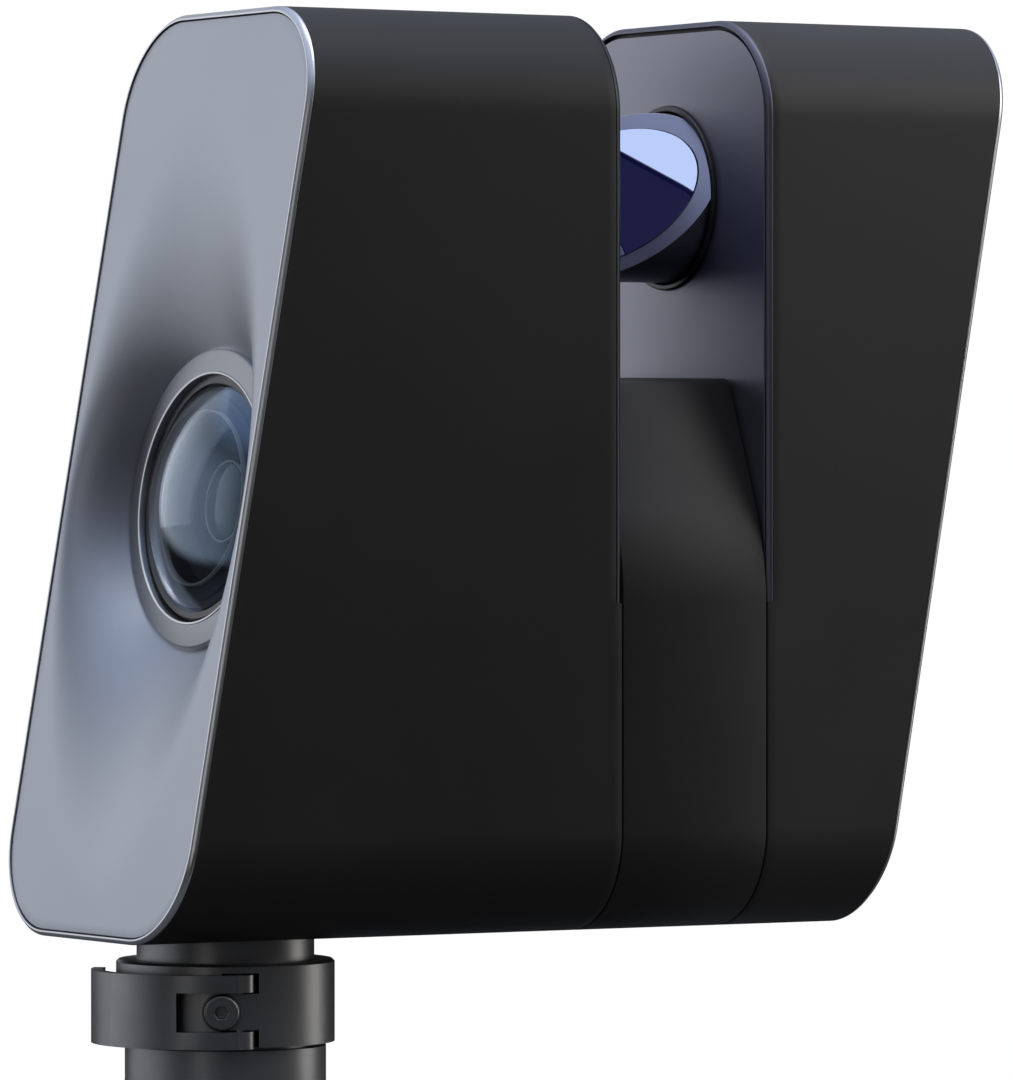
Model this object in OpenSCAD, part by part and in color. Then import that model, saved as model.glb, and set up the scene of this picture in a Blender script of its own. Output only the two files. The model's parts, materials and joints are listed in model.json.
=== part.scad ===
// Terrestrial laser scanner on a quick-release tripod adapter.
// +Z is up, the lens faces -Y, and the origin is the centre of the adapter's
// underside, on the vertical axis that the scanner pans about.
// Parts of the scanner are drawn in body coordinates: X from the middle, Y from
// the front edge of the underside, Z from the underside. in_body() moves them up.

/* [Body] */
// Width of the scanner
body_w = 76; // [72:1:84]
// Height of the scanner without its adapter
body_h = 181; // [178:1:186]
// Depth of the scanner along its underside
body_d = 161; // [158:1:166]
// Backward lean of the front and back faces, in degrees
lean = 10; // [9:1:11]
// Corner radius of the housings, seen from the front
corner_r = 20; // [19:1:21]
// Thickness of the housing walls
wall = 1.8; // [1.6:0.1:2]
// Width of the bright rim around each end face
trim_w = 1.1; // [0.8:0.1:1.2]
// Depth of the bright rim
trim_d = 1.2; // [1:0.1:1.4]
// Thickness of the end plates
plate_t = 2; // [1.8:0.1:2.2]
// Distance that the end plates sit below their rim
plate_sink = 0.3; // [0.2:0.1:0.4]

/* [Gap and bridge] */
// Start of the gap between the two blocks
gap_y0 = 99.2; // [98:0.1:101]
// End of the gap between the two blocks
gap_y1 = 133.1; // [132:0.1:134]
// Height of the bridge between the blocks
bridge_h = 109.4; // [108:0.1:111]
// Height up to which the bridge is flush with the blocks
flush_h = 65; // [62:1:68]
// Radius of the shoulder between the bridge's side and its slope
shoulder_r = 50; // [45:1:55]
// Angle of the bridge's slope from upright, in degrees
slope = 22; // [20:1:24]
// Width of the seam at each end of the bridge
seam = 0.3; // [0.2:0.1:0.4]

/* [Lens] */
// Distance of the lens plane behind the front edge
lens_y = 27.65; // [27:0.05:28.5]
// Height of the lens plane's centre
lens_z = 86; // [84:0.5:88]
// Upward tilt of the lens, in degrees
lens_tilt = 7; // [5:1:9]
// Radius of the front glass
glass_r = 22; // [21:0.5:22]
// Radius of the dome of the front glass
dome_r = 36; // [34:1:40]
// Outer radius of the bezel
bezel_r = 29.5; // [29:0.1:30]
// Radius of the dish where it meets the front plate
dish_r = 35.2; // [34:0.1:35.6]

/* [Scanning mirror] */
// Height of the mirror's axis
mirror_z = 146; // [144:0.5:148]
// Distance of the mirror's centre behind the front edge
mirror_y = 119; // [117:0.5:120]
// Radius of the mirror drum
drum_r = 17.1; // [16:0.1:17.2]
// Radius of the mirror glass, seen along the axis
mirror_r = 13.9; // [13:0.1:14.4]
// Turn of the mirror about its axis at rest, in degrees
mirror_turn = 34; // [0:1:90]

/* [Adapter] */
// Distance of the pan axis behind the front edge
pan_y = 31.4; // [30:0.1:33]
// Height of the adapter below the scanner's underside
stand_h = 50; // [48:1:60]
// Radius of the adapter's column
column_r = 19.7; // [19:0.1:20]
// Radius of the locking collar
collar_r = 21.4; // [21:0.1:22]
// Height of the locking collar
collar_h = 16.1; // [15:0.1:17]
// Gap between the collar's top and the scanner's underside
collar_gap = 4.4; // [4:0.1:5]
// Radius of the neck
neck_r = 17.4; // [17:0.1:17.6]
// Radius of the tripod thread, 3/8 inch
thread_r = 4.76; // [3.18:0.01:4.76]
// Depth of the tripod thread
thread_l = 12; // [10:1:14]

/* [Pan drive] */
// Module of the pan gears
gear_m = 0.9; // [0.9:0.1:0.9]
// Teeth on the fixed gear
fixed_teeth = 36; // [36:1:36]
// Teeth on the motor's pinion
pinion_teeth = 12; // [12:1:12]

/* [Battery] */
// Half width of the battery
battery_x = 26.5; // [24:0.5:27]
// Lowest edge of the battery
battery_z0 = 10; // [9:0.5:11]
// Highest edge of the battery
battery_z1 = 56; // [50:0.5:57]

/* [Hidden] */
$fn = 96;
far = 10;                 // how far a cutting shape runs past what it cuts
trim_gap = 0.1;           // gap between a plate and the wall around it
plate_inset = wall + trim_gap;
arc_x = body_w / 2 - shoulder_r;
shoulder_bite = 0.02;     // how far the slope cuts into the shoulder, to meet it cleanly

// Clamp: heights in row coordinates, plan positions with the lever's side
collar_z1 = stand_h - collar_gap;
collar_z0 = collar_z1 - collar_h;
clamp_turn = 59.2;        // direction that the plunger faces, from -Y towards +X
socket_r = 15.05;         // bore that the neck's spigot stands in
socket_wall_r = 17;
spigot_r = 15;
lever_z0 = collar_z0 - 0.2;
lever_h = 14.3;
lever_mid = lever_z0 + lever_h / 2;
fork_half = 3.8;          // half height of the fork's opening
pin_at = [3.4, -19.6];    // lever pin in plan, plunger pointing to -Y
pin_r = 0.9;
eye_r = 2.9;
fork_end = -8.7;
screw_head_r = 3.5;
shank_r = 2;

// Pan bearing and gears, heights above the scanner's underside
shaft_r = 10;
bearing_z = [6, 15];
race_r = [12.5, 16, 18.5];
ball_count = 12;
ball_r = 1.7;
gear_z = [17, 23];
pressure_angle = 25;
addendum = 0.8;
dedendum = 1.1;
backlash = 0.12;
pinion_y = pan_y + gear_m * (fixed_teeth + pinion_teeth) / 2 + 0.05;
motor_r = 13;
motor_z = [28, 60];
pinion_shaft_r = 2;

// Mirror drive, distances behind the front edge
drum_end = 134.8;
spindle_r = 4;
spindle_end = 172;
motor_y = [gap_y1 + plate_sink + plate_t, 166];

// Screws in the underside
screw_x = 12;
screw_r = 1.5;
screw_head = 2.9;
screw_sink = 1.4;
function screw_row(y) = [for (x = [-screw_x, screw_x]) [x, y]];
function front_screws() = concat(screw_row(11), screw_row(88));
function bridge_screws() = screw_row(116);
function rear_screws() = screw_row(148);

// Back face: heights above the underside, and the parts behind the panel
display_z = 128;
display_w = 44;
display_h = 28;
button_z = 96;
button_r = 6;
button_flange = 1.2;
socket_z = 78;
latch_z = 64.5;
board_depth = 7.1;        // back of the rear board below the panel's face
board_t = 1.6;
cell_x = [-9, -3, 3, 9];  // battery contacts

function face_y(z) = z * tan(lean);

// ---- placing -------------------------------------------------------------
module in_body() translate([0, -pan_y, stand_h]) children();

module on_lens() in_body() translate([0, lens_y, lens_z])
    rotate([90 - lens_tilt, 0, 0]) children();

// Z points out of the back face, Y points down it
module on_back(z) in_body() translate([0, body_d + face_y(z), z])
    rotate([-90 - lean, 0, 0]) children();

// Clamp coordinates: -Y points where the plunger points
module on_clamp() rotate([0, 0, clamp_turn]) children();

module on_pinion() in_body() translate([0, pinion_y, 0]) children();

module on_mirror() in_body() translate([0, mirror_y, mirror_z])
    rotate([0, -mirror_turn, 0]) children();

// ---- shared shapes -------------------------------------------------------
module along_y(y0, y1) translate([0, y1, 0]) rotate([90, 0, 0])
    linear_extrude(y1 - y0) children();

module side_prism(points) rotate([90, 0, 90])
    linear_extrude(body_w + 2 * far, center = true) polygon(points);

module tube(r_out, r_in, z0, z1) translate([0, 0, z0]) difference() {
    cylinder(r = r_out, h = z1 - z0);
    translate([0, 0, -1]) cylinder(r = r_in, h = z1 - z0 + 2);
}

module disc_y(r, y0, y1) translate([0, y1, 0]) rotate([90, 0, 0]) cylinder(r = r, h = y1 - y0);

module box(x0, x1, y0, y1, z0, z1) translate([x0, y0, z0]) cube([x1 - x0, y1 - y0, z1 - z0]);

module rounded(w, h, r) {
    square([w - 2 * r, h], center = true);
    square([w, h - 2 * r], center = true);
    for (x = [-1, 1], y = [-1, 1]) translate([x * (w / 2 - r), y * (h / 2 - r)]) circle(r = r);
}

// Outline of the body seen from the front, shrunk by inset
module outline(inset) translate([0, body_h / 2])
    rounded(body_w - 2 * inset, body_h - 2 * inset, corner_r - inset);

module ring_outline(inset, width) difference() {
    outline(inset);
    outline(inset + width);
}

// Space between two planes that lean like the front face
module lean_slab(y0, y1) side_prism([
    [y0 + face_y(-far), -far], [y1 + face_y(-far), -far],
    [y1 + face_y(body_h + far), body_h + far], [y0 + face_y(body_h + far), body_h + far]]);

module bridge_outline(inset) {
    arc_r = shoulder_r - inset;
    arc_top = [arc_x + arc_r * cos(slope) - shoulder_bite, flush_h + arc_r * sin(slope)];
    top = [arc_top.x - (bridge_h - inset - arc_top.y) * tan(slope), bridge_h - inset];
    intersection() {
        outline(inset);
        union() {
            translate([-body_w / 2, 0]) square([body_w, flush_h]);
            intersection() {
                translate([arc_x, flush_h]) circle(r = arc_r, $fn = 180);
                translate([-arc_x, flush_h]) circle(r = arc_r, $fn = 180);
                translate([-body_w / 2, flush_h]) square([body_w, arc_top.y - flush_h + 3]);
            }
            polygon([[-arc_top.x, arc_top.y], arc_top, top, [-top.x, top.y]]);
        }
    }
}

// One side of an involute tooth: radius r, polar angle measured from the tooth's middle
function involute(base, r) = let (t = acos(min(1, base / r))) tan(t) * 180 / PI - t;
function flank(teeth, r, base, pitch) =
    90 / teeth - backlash / (2 * pitch) * 180 / PI / 2
    + involute(base, pitch) - involute(base, max(r, base));
function gear_points(teeth) = let (
    pitch = gear_m * teeth / 2,
    base = pitch * cos(pressure_angle),
    root = pitch - dedendum * gear_m,
    tip = pitch + addendum * gear_m,
    steps = [for (i = [0:4]) max(root, base) + (tip - max(root, base)) * i / 4]
) [for (k = [0:teeth - 1]) let (mid = 360 / teeth * k) each concat(
    [root * [cos(mid - flank(teeth, base, base, pitch)), sin(mid - flank(teeth, base, base, pitch))]],
    [for (r = steps) r * [cos(mid - flank(teeth, r, base, pitch)), sin(mid - flank(teeth, r, base, pitch))]],
    [for (i = [4:-1:0]) let (r = steps[i])
        r * [cos(mid + flank(teeth, r, base, pitch)), sin(mid + flank(teeth, r, base, pitch))]],
    [root * [cos(mid + flank(teeth, base, base, pitch)), sin(mid + flank(teeth, base, base, pitch))]])];

// ---- tripod adapter and clamp --------------------------------------------
module tripod_adapter() color("#2b2b2d") difference() {
    union() {
        cylinder(r1 = column_r - 1, r2 = column_r, h = 1);
        translate([0, 0, 1]) cylinder(r = column_r, h = collar_z0 - 1.8);
        translate([0, 0, 1]) cylinder(r = socket_wall_r, h = collar_z1 - 2);
    }
    translate([0, 0, stand_h - 24]) cylinder(r = socket_r, h = 30);
    translate([0, 0, -1]) cylinder(r = 7, h = thread_l + 1);
    on_clamp() translate([0, 0, lever_mid]) rotate([90, 0, 0]) cylinder(r = shank_r + 0.1, h = 30);
    on_clamp() for (z = lever_heights()) translate([pin_at.x, pin_at.y, z[0] - 0.3])
        cylinder(r = eye_r + 0.7, h = z[1] - z[0] + 0.6);
}

function lever_heights() = [
    [lever_z0, lever_mid - fork_half], [lever_mid + fork_half, lever_z0 + lever_h]];

module thread_insert() color("#b9b7b0") tube(7, thread_r, 0, thread_l);

module locking_collar() color("#2f2f31") difference() {
    union() {
        translate([0, 0, collar_z0]) cylinder(r = collar_r, h = collar_h - 0.5);
        translate([0, 0, collar_z1 - 0.5]) cylinder(r1 = collar_r, r2 = collar_r - 0.5, h = 0.5);
    }
    translate([0, 0, collar_z0 - 1]) cylinder(r = socket_wall_r, h = collar_h);
    translate([0, 0, collar_z0]) cylinder(r = spigot_r + 0.2, h = collar_h + 1);
    on_clamp() {
        translate([0, 0, lever_mid]) rotate([90, 0, 0]) cylinder(r = shank_r + 0.1, h = 40);
        translate([0, -21, lever_mid]) rotate([90, 0, 0]) cylinder(r = screw_head_r + 0.3, h = 5);
        for (z = lever_heights()) lever_pocket(z[0] - 0.3, z[1] + 0.3);
        translate([pin_at.x, pin_at.y, lever_z0 - 1]) cylinder(r = pin_r, h = lever_h + 2);
    }
}

// Room for the lever's eyes while it swings
module lever_pocket(z0, z1) translate([0, 0, z0]) linear_extrude(z1 - z0) {
    translate(pin_at) circle(r = eye_r + 0.9);
    translate([pin_at.x - 3, pin_at.y - 6]) square([3 + eye_r + 0.9, 6]);
}

module lever_pin() color("#8d8d90") on_clamp()
    translate([pin_at.x, pin_at.y, lever_z0 + 0.2]) cylinder(r = pin_r, h = lever_h - 0.4);

module lever_plan() union() {
    difference() {
        translate([-2.1, 0.1]) circle(r = 24.2);
        translate([-2.2, -0.1]) circle(r = 21.9);
        translate([pin_at.x - 0.4, -40]) square([60, 80]);
        rotate(-10) translate([-60, 0]) square([100, 60]);
    }
    translate(pin_at) circle(r = eye_r);
    translate([pin_at.x - 2, -23.2]) square([2.9, 3.6]);
}

module locking_lever() color("#323234") on_clamp() difference() {
    translate([0, 0, lever_z0]) linear_extrude(lever_h) lever_plan();
    translate([fork_end, -60, lever_mid - fork_half]) cube([40, 60, 2 * fork_half]);
    translate([pin_at.x, pin_at.y, lever_z0 - 1]) cylinder(r = pin_r + 0.05, h = lever_h + 2);
}

module plunger_screw() color("#3a3a3c") on_clamp() translate([0, 0, lever_mid]) difference() {
    union() {
        translate([0, -15.3, 0]) rotate([90, 0, 0]) cylinder(r = shank_r, h = 6);
        translate([0, -21.1, 0]) rotate([90, 0, 0]) cylinder(r = screw_head_r, h = 1.9);
        translate([0, -23, 0]) rotate([90, 0, 0])
            cylinder(r1 = screw_head_r, r2 = screw_head_r - 0.4, h = 0.4);
    }
    translate([0, -21.8, 0]) rotate([90, 0, 0]) cylinder(r = 1.3, h = 5, $fn = 6);
}

module swivel_neck() color("#3b3b3d") difference() {
    union() {
        translate([0, 0, stand_h - 23]) cylinder(r = spigot_r, h = 26);
        translate([0, 0, collar_z1]) cylinder(r = neck_r, h = collar_gap + 4);
        translate([0, 0, stand_h + 3]) cylinder(r = shaft_r, h = 24);
    }
    on_clamp() translate([0, -15, lever_mid]) rotate([90, 0, 0])
        translate([0, 0, -0.8]) cylinder(r = shank_r + 0.4, h = 2);
}

// ---- pan bearing and drive -----------------------------------------------
module inner_race() color("#c9cacc") in_body() translate([0, pan_y, 0])
    tube(race_r[0], shaft_r, bearing_z[0], bearing_z[1]);

module outer_race() color("#c9cacc") in_body() translate([0, pan_y, 0])
    tube(race_r[2], race_r[1], bearing_z[0], bearing_z[1]);

module bearing_balls() color("#d8d8da") in_body() for (i = [0:ball_count - 1])
    translate([0, pan_y, (bearing_z[0] + bearing_z[1]) / 2])
        rotate([0, 0, 360 / ball_count * i]) translate([(race_r[0] + race_r[1]) / 2, 0, 0])
            sphere(r = ball_r, $fn = 32);

module fixed_gear() color("#b08d4a") translate([0, 0, stand_h + gear_z[0]]) difference() {
    linear_extrude(gear_z[1] - gear_z[0]) rotate(90 + 180 / fixed_teeth)
        polygon(gear_points(fixed_teeth));
    translate([0, 0, -1]) cylinder(r = shaft_r, h = 10);
}

module gear_nut() color("#9a9a9c") translate([0, 0, stand_h + gear_z[1]]) difference() {
    cylinder(r = 13, h = 3, $fn = 6);
    translate([0, 0, -1]) cylinder(r = shaft_r, h = 5);
}

module pan_pinion() color("#c8c8ca") on_pinion() union() {
    translate([0, 0, gear_z[0]]) linear_extrude(gear_z[1] - gear_z[0])
        rotate(-90) polygon(gear_points(pinion_teeth));
    translate([0, 0, gear_z[1] - 1]) cylinder(r = pinion_shaft_r, h = motor_z[1] - gear_z[1] - 4);
}

module motor_bracket() color("#7f8184") on_pinion() difference() {
    union() {
        translate([-19, -7, motor_z[0] - 2.5]) cube([38, 22, 2.5]);
        for (x = [-15.5, 15.5]) translate([x, 9, 6.5]) cylinder(r = 3, h = motor_z[0] - 9);
    }
    translate([0, 0, motor_z[0] - 5]) cylinder(r = 4, h = 10);
}

module pan_motor() color("#6c6f73") on_pinion() difference() {
    union() {
        translate([0, 0, motor_z[0]]) cylinder(r = motor_r, h = motor_z[1] - motor_z[0]);
        translate([-3, motor_r - 1, motor_z[1] - 9]) cube([6, 4, 6]);
    }
    translate([0, 0, motor_z[0] - 1])
        cylinder(r = pinion_shaft_r + 0.05, h = motor_z[1] - motor_z[0] - 1);
}

module base_plate() color("#85878a") in_body() difference() {
    union() {
        intersection() {
            along_y(8, gap_y0 - 4) outline(wall);
            box(-body_w, body_w, 0, gap_y0, 0, 6.5);
        }
        intersection() {
            translate([0, pan_y, wall]) cylinder(r = 22, h = bearing_z[1] - wall);
            along_y(8, gap_y0 - 4) outline(wall);
        }
    }
    translate([0, pan_y, -1]) cylinder(r = neck_r + 0.4, h = bearing_z[0] + 1);
    translate([0, pan_y, bearing_z[0]]) cylinder(r = race_r[2], h = 20);
    for (p = front_screws()) translate([p.x, p.y, 0]) cylinder(r = 1.5, h = 20);
}

// ---- housings ------------------------------------------------------------
module screw_hole(p) translate([p.x, p.y, 0]) {
    translate([0, 0, -1]) cylinder(r = screw_r, h = 6);
    translate([0, 0, -1]) cylinder(r = screw_head, h = 1);
    cylinder(r1 = screw_head, r2 = screw_r, h = screw_sink);
}

module housing_screws() color("#4a4a4d") in_body()
    for (p = concat(front_screws(), bridge_screws(), rear_screws()))
        translate([p.x, p.y, 0]) difference() {
            union() {
                translate([0, 0, 0.15])
                    cylinder(r1 = screw_head - 0.15, r2 = screw_r, h = screw_sink - 0.15);
                translate([0, 0, screw_sink]) cylinder(r = screw_r, h = p.y < gap_y0 ? 4.5 : 0.4);
            }
            translate([0, 0, -1]) cylinder(r = 1, h = 2, $fn = 6);
        }

module front_housing() color("#1b1b1c") in_body() difference() {
    intersection() {
        along_y(-far, gap_y0 + far) ring_outline(0, wall);
        side_prism([
            [trim_d + face_y(-far), -far], [gap_y0, -far], [gap_y0, flush_h],
            [gap_y0 - trim_d, flush_h], [gap_y0 - trim_d, body_h + far],
            [trim_d + face_y(body_h + far), body_h + far]]);
    }
    translate([0, pan_y, -far]) cylinder(r = neck_r + 0.3, h = 2 * far);
    for (p = front_screws()) screw_hole(p);
}

module rear_housing() color("#1b1b1c") in_body() difference() {
    intersection() {
        along_y(gap_y1 - far, body_d + 60) ring_outline(0, wall);
        side_prism([
            [gap_y1, -far], [body_d - trim_d + face_y(-far), -far],
            [body_d - trim_d + face_y(body_h + far), body_h + far],
            [gap_y1 + trim_d, body_h + far], [gap_y1 + trim_d, flush_h], [gap_y1, flush_h]]);
    }
    for (p = rear_screws()) screw_hole(p);
}

module bridge_housing() color("#1d1d1e") in_body() difference() {
    along_y(gap_y0 + seam, gap_y1 - seam) difference() {
        bridge_outline(0);
        bridge_outline(wall + 0.2);
    }
    for (p = bridge_screws()) screw_hole(p);
}

// Bright rims of the front face and the back face
module end_trims() color("#b9bcc4") in_body() {
    intersection() {
        along_y(-far, 60) ring_outline(0, trim_w);
        lean_slab(0, trim_d);
    }
    intersection() {
        along_y(body_d - far, body_d + 60) ring_outline(0, trim_w);
        lean_slab(body_d - trim_d, body_d);
    }
}

// Bright rims of the two faces in the gap, open where the bridge joins
module gap_trims() color("#b9bcc4") in_body() for (y = [gap_y0 - trim_d, gap_y1])
    intersection() {
        along_y(y, y + trim_d) ring_outline(0, trim_w);
        box(-body_w, body_w, y - 1, y + 9, flush_h, body_h + far);
    }

// Front plate with the dish that the lens sits in
module front_plate() color("#9a9eaa") union() {
    difference() {
        in_body() intersection() {
            along_y(-far, 60) outline(plate_inset);
            lean_slab(plate_sink, plate_sink + plate_t);
        }
        on_lens() translate([0, 0, -20]) cylinder(r = dish_r, h = 60);
    }
    intersection() {
        on_lens() rotate_extrude() polygon([
            [bezel_r, -1.5], [dish_r + 1, 8], [dish_r + 1, 22], [dish_r - 0.3, 22],
            [dish_r - 0.3, 9.5], [bezel_r, 1.2]]);
        in_body() along_y(-far, 60) outline(plate_inset);
        in_body() lean_slab(plate_sink, 60);
    }
}

module gap_plate(y0) difference() {
    along_y(y0, y0 + plate_t) outline(plate_inset);
    box(-body_w, body_w, y0 - 1, y0 + 9, -far, flush_h + 1);
    children();
}

module front_gap_plate() color("#8f93a0") in_body() gap_plate(gap_y0 - plate_sink - plate_t)
    translate([0, 0, mirror_z]) disc_y(15, gap_y0 - 9, gap_y0 + 9);

module rear_gap_plate() color("#8f93a0") in_body() gap_plate(gap_y1 + plate_sink)
    translate([0, 0, mirror_z]) disc_y(18.6, gap_y1 - 9, gap_y1 + 9);

module laser_window() color([0.12, 0.05, 0.16, 0.8]) in_body() translate([0, 0, mirror_z])
    disc_y(15, gap_y0 - plate_sink - plate_t + 0.2, gap_y0 - plate_sink - 0.2);

// ---- lens ----------------------------------------------------------------
module lens_bezel() color("#8d909a") on_lens() rotate_extrude() polygon([
    [24.3, -2], [bezel_r, -2], [bezel_r, 1.1], [bezel_r - 0.4, 1.5], [25.1, 1.5], [24.3, 0.5]]);

module lens_barrel() color("#151516") on_lens() difference() {
    union() {
        rotate_extrude() polygon([
            [16, -30], [19, -30], [19, -12], [24.1, -9], [24.1, 0.6], [glass_r + 0.3, 0.6],
            [glass_r + 0.05, 0.3], [glass_r + 0.05, -6], [16, -6]]);
        tube(17, 12, -41.5, -29);
        translate([-21, -21, -44]) cube([42, 42, 2.5]);
    }
    translate([0, 0, -50]) cylinder(r = 12, h = 15);
}

module front_lens() color([0.35, 0.5, 0.7, 0.45]) on_lens() difference() {
    intersection() {
        translate([0, 0, -sqrt(dome_r * dome_r - glass_r * glass_r)]) sphere(r = dome_r, $fn = 128);
        translate([0, 0, -3]) cylinder(r = glass_r, h = 20);
    }
    translate([0, 0, -16]) sphere(r = 20, $fn = 96);
}

module spacer_ring() color("#202022") on_lens() rotate_extrude() polygon([
    [17.2, -6], [glass_r, -6], [glass_r, -3], [18, -3], [17.2, -3.8]]);

module inner_lenses() color([0.4, 0.5, 0.65, 0.45]) on_lens() {
    intersection() {
        translate([0, 0, -14]) cylinder(r = 15.9, h = 8);
        translate([0, 0, -32]) sphere(r = 25, $fn = 96);
    }
    translate([0, 0, -28]) cylinder(r = 15.9, h = 5);
    translate([0, 0, -38]) cylinder(r = 11.9, h = 5);
}

module image_sensor() color("#31404a") on_lens() translate([-8, -6, -44]) cube([16, 12, 1.4]);

module camera_board() color("#1f5b3a") on_lens() difference() {
    translate([-21, -21, -45.6]) cube([42, 42, 1.6]);
    for (x = [-18, 18], y = [-18, 18]) translate([x, y, -50]) cylinder(r = 1.1, h = 9);
}

module lens_bracket() color("#7f8184") on_lens() difference() {
    translate([-28, -22, -24]) cube([56, 44, 3]);
    translate([0, 0, -30]) cylinder(r = 19, h = 12);
}

// ---- chassis and electronics ---------------------------------------------
module chassis_frame() color("#85878a") in_body() difference() {
    union() {
        for (x = [-30, 28]) box(x, x + 2, 42, 95, 6.5, 160);
        box(-30, 30, 70, 95, 157, 160);
        box(-30, 30, 90, 95, 66, 70);
    }
    for (z = [40, 118]) translate([-40, 68, z]) rotate([0, 90, 0]) cylinder(r = 17, h = 80);
}

module bridge_beams() color("#7a7c80") in_body() for (x = [-33, 30]) box(x, x + 3, 86, 150, 25, 60);

module rangefinder() color("#26272a") in_body() difference() {
    union() {
        box(-20, 20, 56, 90, 128, 156.5);
        translate([0, 0, mirror_z - 4]) disc_y(14, 88, 95);
        box(-28, 28, 60, 84, 124.5, 128);
    }
    translate([0, 0, mirror_z - 4]) disc_y(12, 84, 96);
}

module rangefinder_lens() color([0.4, 0.35, 0.6, 0.5]) in_body() translate([0, 0, mirror_z - 4])
    disc_y(12, 90, 94);

module main_board() color("#1f5b3a") in_body() union() {
    box(-32.2, -30.6, 46, 94, 66, 150);
    for (z = [74, 98, 128]) box(-33.6, -32.2, 56, 72, z, z + 14);
    box(-34.2, -32.2, 78, 90, 80, 120);
}

// ---- mirror drive --------------------------------------------------------
module mirror_collar() color("#18181c") in_body() translate([0, 0, mirror_z]) difference() {
    disc_y(18.6, gap_y1 - 0.6, motor_y[0] + 1.5);
    disc_y(drum_r + 0.35, gap_y1 - 9, motor_y[0] + 9);
}

module motor_housing() color("#6c6f73") in_body() translate([0, 0, mirror_z]) difference() {
    disc_y(22, motor_y[0], motor_y[1]);
    disc_y(18.6, motor_y[0] - 1, motor_y[0] + 2);
    disc_y(18, motor_y[0] + 5, motor_y[1] - 3);
    disc_y(6, motor_y[0] - 1, motor_y[1] + 1);
}

module motor_stator() color("#a5673a") in_body() translate([0, 0, mirror_z]) difference() {
    disc_y(18, 145, 160);
    disc_y(11, 140, 165);
}

module mirror_bearings() color("#c9cacc") in_body() translate([0, 0, mirror_z])
    for (y = [motor_y[0] + 2, motor_y[1] - 3]) difference() {
        disc_y(6, y, y + 3);
        disc_y(spindle_r + 0.03, y - 1, y + 4);
    }

module encoder_board() color("#1f5b3a") in_body() difference() {
    box(-17, 17, 173, 174.6, mirror_z - 17, mirror_z + 17);
    translate([0, 0, mirror_z]) disc_y(5, 170, 180);
}

// Half space in front of the mirror's slanted face
module slant(depth) rotate([0, 0, -45]) translate([-depth, -60, -60]) cube([120, 120, 120]);

module mirror_drum() color("#3a3947") on_mirror() difference() {
    disc_y(drum_r, -30, drum_end - mirror_y);
    slant(0);
    intersection() {
        disc_y(mirror_r + 0.05, -40, 40);
        slant(1.6);
    }
    disc_y(spindle_r, drum_end - mirror_y - 8, 40);
}

module scan_mirror() color("#c9d6ff") on_mirror() intersection() {
    disc_y(mirror_r, -40, drum_end - mirror_y - 0.1);
    difference() {
        slant(1.6);
        slant(-0.2);
    }
}

module mirror_spindle() color("#b5b6b8") in_body() translate([0, 0, mirror_z])
    disc_y(spindle_r, drum_end - 8, spindle_end);

module rotor_magnet() color("#55565a") in_body() translate([0, 0, mirror_z]) difference() {
    disc_y(10.5, 145, 160);
    disc_y(spindle_r, 140, 165);
}

module encoder_disc() color("#d4d6da") in_body() translate([0, 0, mirror_z]) difference() {
    disc_y(14, 168, 169.5);
    disc_y(spindle_r, 160, 175);
}

// ---- back face -----------------------------------------------------------
module back_panel() color("#8f93a0") difference() {
    in_body() intersection() {
        along_y(body_d - far, body_d + 60) outline(plate_inset);
        lean_slab(body_d - plate_sink - plate_t, body_d - plate_sink);
    }
    on_back(display_z) linear_extrude(20, center = true) rounded(display_w, display_h, 3);
    on_back(button_z) translate([0, 0, -10]) cylinder(r = button_r + 0.3, h = 20);
    on_back(socket_z) linear_extrude(20, center = true) rounded(9.6, 3.8, 1.8);
    on_back(latch_z) translate([-3.4, -3.5, -10]) cube([6.8, 5.5, 20]);
    in_body() along_y(body_d - far, body_d + 60) battery_outline(0.4);
}

module battery_outline(grow) translate([0, (battery_z0 + battery_z1) / 2])
    rounded(2 * (battery_x + grow), battery_z1 - battery_z0 + 2 * grow, 3 + grow);

module battery_cap() color("#2b2b2d") in_body() intersection() {
    along_y(body_d - far, body_d + 60) battery_outline(0);
    lean_slab(body_d - plate_sink - plate_t - 1, body_d - plate_sink);
}

module battery_pack() color("#3a3b3f") in_body() difference() {
    intersection() {
        along_y(105, body_d + 60) battery_outline(-0.5);
        lean_slab(-far - 60, body_d - plate_sink - plate_t - 1);
    }
    box(-5, 5, 90, body_d + 60, battery_z1 - 2.5, battery_z1 + 5);
}

module battery_bay() color("#4a4b4f") in_body() difference() {
    intersection() {
        along_y(101, body_d + 60) battery_outline(1.8);
        lean_slab(-far - 60, body_d - plate_sink - plate_t - 0.1);
    }
    along_y(103, body_d + 60) battery_outline(0.4);
    box(-6, 6, 140, body_d + 60, battery_z1 - 2, battery_z1 + 5);
    for (x = cell_x) translate([x, 0, 30]) disc_y(1, 90, 110);
}

module battery_contacts() color("#d9b45a") in_body()
    for (x = cell_x) translate([x, 0, 30]) disc_y(1, 99.5, 104.9);

module display_window() color([0.05, 0.05, 0.07, 0.9]) on_back(display_z)
    translate([0, 0, -plate_sink - 1.4]) linear_extrude(1.4)
        rounded(display_w - 0.2, display_h - 0.2, 2.9);

module rear_board() color("#1f5b3a") on_back(display_z) union() {
    translate([-21, -13, -plate_sink - board_depth + board_t]) cube([42, 26, 4]);
    translate([-24, -16, -plate_sink - board_depth]) cube([48, 64, board_t]);
    translate([-3, 29.5, -plate_sink - board_depth + board_t]) cube([6, 6, 1.1]);
}

module charging_socket() color("#9a9a9c") on_back(socket_z) translate([0, 0, -7])
    linear_extrude(6.5) difference() {
        rounded(9.2, 3.4, 1.6);
        rounded(8.4, 2.6, 1.2);
    }

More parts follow.
